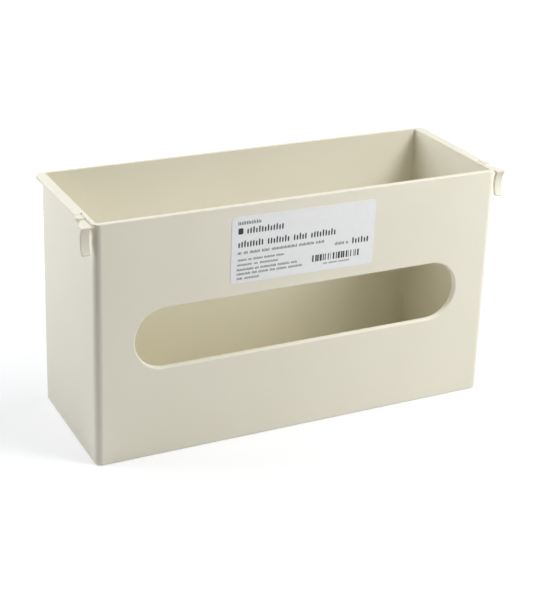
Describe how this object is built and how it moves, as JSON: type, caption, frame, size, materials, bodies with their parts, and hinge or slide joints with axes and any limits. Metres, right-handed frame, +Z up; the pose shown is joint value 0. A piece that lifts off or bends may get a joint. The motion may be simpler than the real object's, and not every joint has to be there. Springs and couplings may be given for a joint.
{
  "type": "glove box holder",
  "caption": "Open-topped moulded box with a long rounded dispensing slot in its front, hanging rails with spring catches and finger tabs, and an adhesive label.",
  "frame": {"origin": "centre of the underside of the base", "axes": "+Z up out of the open top, -Y out of the slotted front, +X to the right of someone who looks at the front, along the slot"},
  "size_m": [0.2816, 0.0975, 0.1528],
  "materials": {
    "holder_plastic": "satin",
    "label_vinyl": "satin"
  },
  "bodies": {
    "root": {"holder": "holder_plastic", "label": "label_vinyl"}
  },
  "joints": []
}
